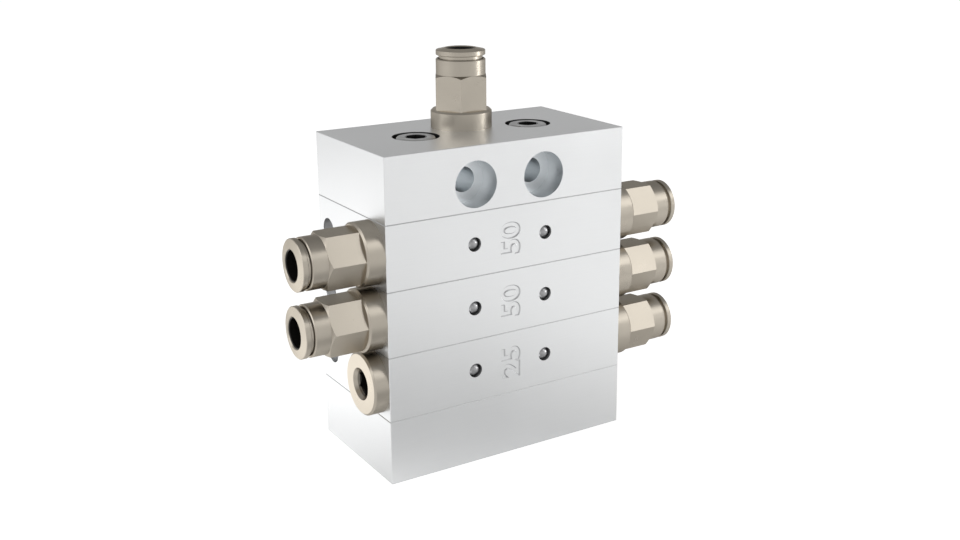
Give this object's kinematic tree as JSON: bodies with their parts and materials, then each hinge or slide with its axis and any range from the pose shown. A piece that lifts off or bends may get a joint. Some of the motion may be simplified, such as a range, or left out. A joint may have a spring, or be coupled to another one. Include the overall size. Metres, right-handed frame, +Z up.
{
  "type": "lubricant divider block",
  "caption": "Sectional lubricant divider block of stacked metering sections with push-in tube fittings, a closure plug, tie screws and counterbored mounting holes.",
  "frame": {"origin": "centre of the block's bottom face", "axes": "+X towards the right-hand outlets, +Y from the front face to the back face, +Z up towards the inlet fitting"},
  "size_m": [0.0938, 0.032, 0.0874],
  "materials": {
    "block_metal": "finely milled, satin",
    "fitting_metal": "nickel plated, satin",
    "steel": "ground, satin",
    "seal_rubber": "matt black"
  },
  "bodies": {
    "block": {"bore_plugs_1": "steel", "bore_plugs_2": "steel", "bore_plugs_3": "steel", "closure_plug": "fitting_metal", "closure_plug_base_seal": "seal_rubber", "end_section": "block_metal", "inlet_fitting_base_seal": "seal_rubber", "inlet_fitting_body": "fitting_metal", "inlet_fitting_grip_ring": "steel", "inlet_fitting_tube_seal": "seal_rubber", "inlet_section": "block_metal", "interface_seals_1": "seal_rubber", "interface_seals_2": "seal_rubber", "interface_seals_3": "seal_rubber", "interface_seals_4": "seal_rubber", "left_fitting_1_base_seal": "seal_rubber", "left_fitting_1_body": "fitting_metal", "left_fitting_1_grip_ring": "steel", "left_fitting_1_tube_seal": "seal_rubber", "left_fitting_2_base_seal": "seal_rubber", "left_fitting_2_body": "fitting_metal", "left_fitting_2_grip_ring": "steel", "left_fitting_2_tube_seal": "seal_rubber", "metering_section_1": "block_metal", "metering_section_2": "block_metal", "metering_section_3": "block_metal", "right_fitting_1_base_seal": "seal_rubber", "right_fitting_1_body": "fitting_metal", "right_fitting_1_grip_ring": "steel", "right_fitting_1_tube_seal": "seal_rubber", "right_fitting_2_base_seal": "seal_rubber", "right_fitting_2_body": "fitting_metal", "right_fitting_2_grip_ring": "steel", "right_fitting_2_tube_seal": "seal_rubber", "right_fitting_3_base_seal": "seal_rubber", "right_fitting_3_body": "fitting_metal", "right_fitting_3_grip_ring": "steel", "right_fitting_3_tube_seal": "seal_rubber", "sealing_balls_1": "steel", "sealing_balls_2": "steel", "sealing_balls_3": "steel", "tie_screw_left": "steel", "tie_screw_right": "steel"},
    "piston_1": {"metering_piston_1": "steel"},
    "piston_2": {"metering_piston_2": "steel"},
    "piston_3": {"metering_piston_3": "steel"},
    "inlet_fitting_ring": {"inlet_fitting_release_ring": "fitting_metal"},
    "left_fitting_1_ring": {"left_fitting_1_release_ring": "fitting_metal"},
    "left_fitting_2_ring": {"left_fitting_2_release_ring": "fitting_metal"},
    "right_fitting_1_ring": {"right_fitting_1_release_ring": "fitting_metal"},
    "right_fitting_2_ring": {"right_fitting_2_release_ring": "fitting_metal"},
    "right_fitting_3_ring": {"right_fitting_3_release_ring": "fitting_metal"}
  },
  "joints": [
    {"name": "piston_1_slide", "type": "slide", "parent": "block", "child": "piston_1", "axis": [1, 0, 0], "range_m": [-0.00122, 0.00122]},
    {"name": "piston_2_slide", "type": "slide", "parent": "block", "child": "piston_2", "axis": [1, 0, 0], "range_m": [-0.00122, 0.00122]},
    {"name": "piston_3_slide", "type": "slide", "parent": "block", "child": "piston_3", "axis": [1, 0, 0], "range_m": [-0.00059, 0.00059]},
    {"name": "inlet_fitting_release", "type": "slide", "parent": "block", "child": "inlet_fitting_ring", "axis": [0, 0, -1], "range_m": [0, 0.0006], "stiffness_N_per_m": 2000},
    {"name": "left_fitting_1_release", "type": "slide", "parent": "block", "child": "left_fitting_1_ring", "axis": [1, 0, 0], "range_m": [0, 0.0006], "stiffness_N_per_m": 2000},
    {"name": "left_fitting_2_release", "type": "slide", "parent": "block", "child": "left_fitting_2_ring", "axis": [1, 0, 0], "range_m": [0, 0.0006], "stiffness_N_per_m": 2000},
    {"name": "right_fitting_1_release", "type": "slide", "parent": "block", "child": "right_fitting_1_ring", "axis": [-1, 0, 0], "range_m": [0, 0.0006], "stiffness_N_per_m": 2000},
    {"name": "right_fitting_2_release", "type": "slide", "parent": "block", "child": "right_fitting_2_ring", "axis": [-1, 0, 0], "range_m": [0, 0.0006], "stiffness_N_per_m": 2000},
    {"name": "right_fitting_3_release", "type": "slide", "parent": "block", "child": "right_fitting_3_ring", "axis": [-1, 0, 0], "range_m": [0, 0.0006], "stiffness_N_per_m": 2000}
  ]
}
